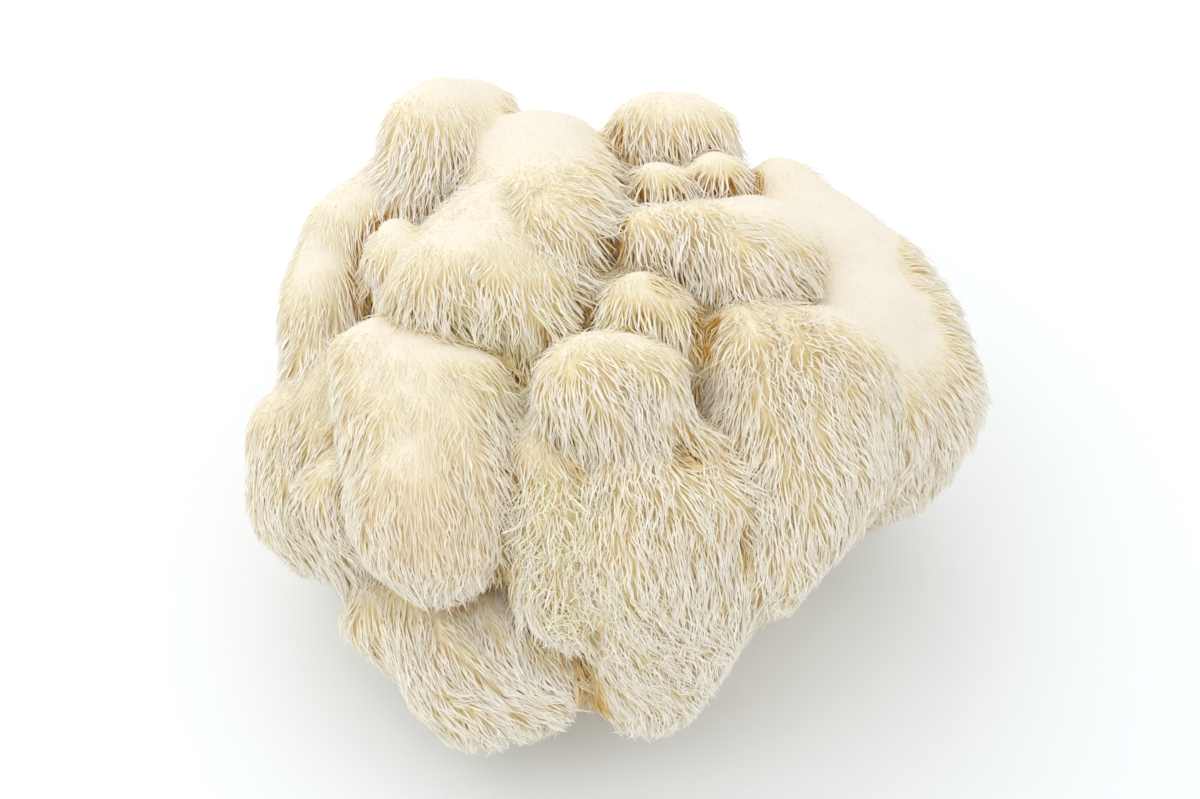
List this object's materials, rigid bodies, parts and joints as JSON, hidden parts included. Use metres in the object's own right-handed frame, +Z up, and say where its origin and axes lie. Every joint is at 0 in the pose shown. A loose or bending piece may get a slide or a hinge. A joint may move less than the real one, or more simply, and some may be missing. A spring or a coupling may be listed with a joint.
{
  "type": "lion's mane mushroom",
  "caption": "Lion's mane mushroom: rounded lobes grown together under a coat of soft hanging spines, cut off flat below so that it rests on the cut.",
  "frame": {"origin": "middle of the flat cut under the fruiting body, where it grew from its block", "axes": "+Z up from the cut, -Y the side that the spines hang towards, +X to the right when it is seen from -Y, along its greatest width"},
  "size_m": [0.1416, 0.1237, 0.0906],
  "materials": {
    "fruiting_body": "matt, soft and fibrous"
  },
  "bodies": {
    "root": {"fruiting_body": "fruiting_body"}
  },
  "joints": []
}
